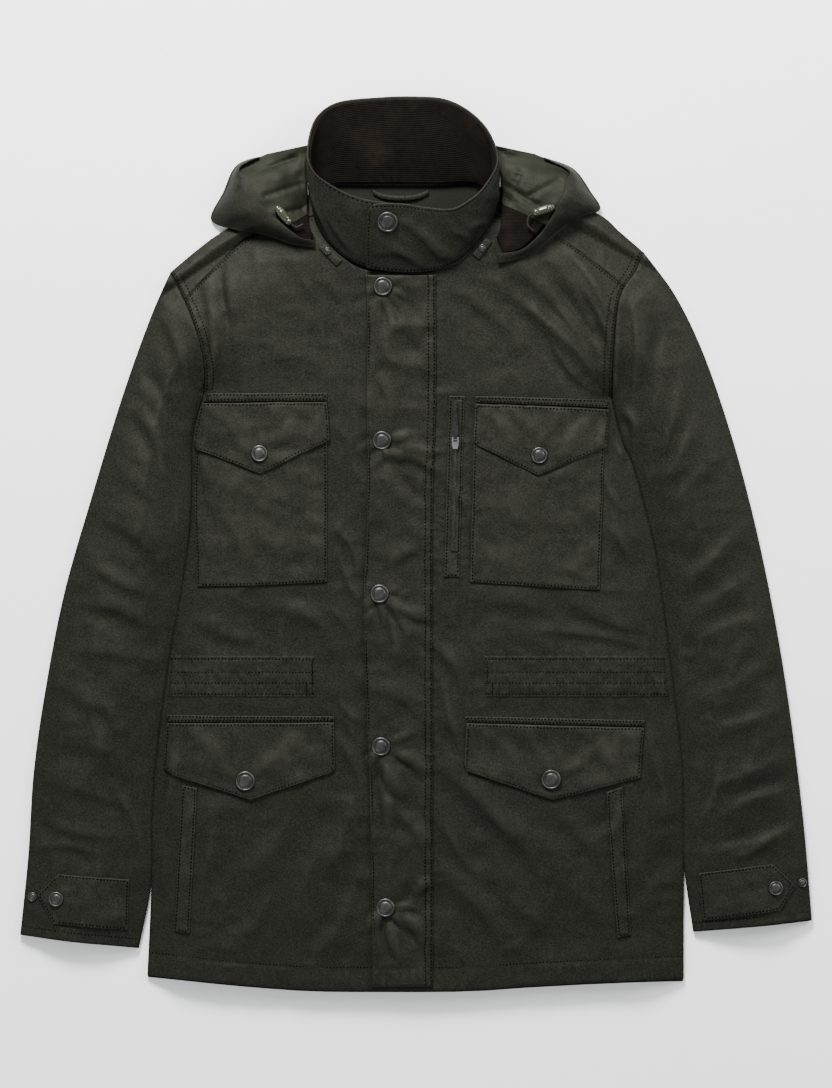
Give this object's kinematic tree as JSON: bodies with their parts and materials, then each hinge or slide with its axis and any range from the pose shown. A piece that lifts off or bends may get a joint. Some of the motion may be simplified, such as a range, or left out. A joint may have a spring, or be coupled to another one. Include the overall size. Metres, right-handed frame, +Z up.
{
  "type": "waxed cotton jacket",
  "caption": "Hooded waxed cotton field jacket laid flat and fastened: storm flap, stand collar, flap pockets and cuff tabs; a hinged pull tab on its chest zip.",
  "frame": {"origin": "middle of the jacket's outline on the surface that it lies on", "axes": "+X towards the wearer's left, +Y from the hem to the collar, +Z up out of the front"},
  "size_m": [0.776, 0.878, 0.05],
  "materials": {
    "waxed_cotton": "waxed, with a soft sheen on its creases",
    "corduroy": "fine wale",
    "nylon_lining": "quilted, slightly glossy",
    "tape": "woven",
    "snap_metal": "antique gunmetal",
    "zip_metal": "bright",
    "lock_plastic": "dark olive"
  },
  "bodies": {
    "jacket": {"back": "waxed_cotton", "chest_band_left": "waxed_cotton", "chest_band_right": "waxed_cotton", "chest_flap_left": "waxed_cotton", "chest_flap_right": "waxed_cotton", "chest_pocket_left": "waxed_cotton", "chest_pocket_right": "waxed_cotton", "collar": "waxed_cotton", "collar_facing": "corduroy", "cord_lock_left": "lock_plastic", "cord_lock_right": "lock_plastic", "cuff_tab_left": "waxed_cotton", "cuff_tab_right": "waxed_cotton", "front_left": "waxed_cotton", "front_right": "waxed_cotton", "hanger_loop": "tape", "hood_cord_left": "tape", "hood_cord_right": "tape", "hood_facing_left": "corduroy", "hood_facing_right": "corduroy", "hood_lining_left": "nylon_lining", "hood_lining_right": "nylon_lining", "hood_shell": "waxed_cotton", "hood_tab_left": "waxed_cotton", "hood_tab_right": "waxed_cotton", "lower_band_left": "waxed_cotton", "lower_band_right": "waxed_cotton", "lower_flap_left": "waxed_cotton", "lower_flap_right": "waxed_cotton", "placket": "waxed_cotton", "shoulder_left": "waxed_cotton", "shoulder_right": "waxed_cotton", "sleeve_left": "waxed_cotton", "sleeve_right": "waxed_cotton", "snap_chest_left": "snap_metal", "snap_chest_right": "snap_metal", "snap_collar": "snap_metal", "snap_cuff_left": "snap_metal", "snap_cuff_right": "snap_metal", "snap_lower_left": "snap_metal", "snap_lower_right": "snap_metal", "snap_placket_1": "snap_metal", "snap_placket_2": "snap_metal", "snap_placket_3": "snap_metal", "snap_placket_4": "snap_metal", "snap_placket_5": "snap_metal", "stud_cuff_left": "snap_metal", "stud_cuff_right": "snap_metal", "stud_hood_left": "snap_metal", "stud_hood_right": "snap_metal", "tunnel_left": "waxed_cotton", "tunnel_right": "waxed_cotton", "welt_left": "waxed_cotton", "welt_right": "waxed_cotton", "zip_panel": "waxed_cotton", "zip_slider": "zip_metal", "zip_tape": "tape"},
    "zip_pull": {"zip_pull": "zip_metal"}
  },
  "joints": [
    {"name": "zip_pull_hinge", "type": "hinge", "parent": "jacket", "child": "zip_pull", "pos_m": [0.0394, 0.101, 0.02837], "axis": [1, 0, 0], "range_deg": [0, 150]}
  ]
}
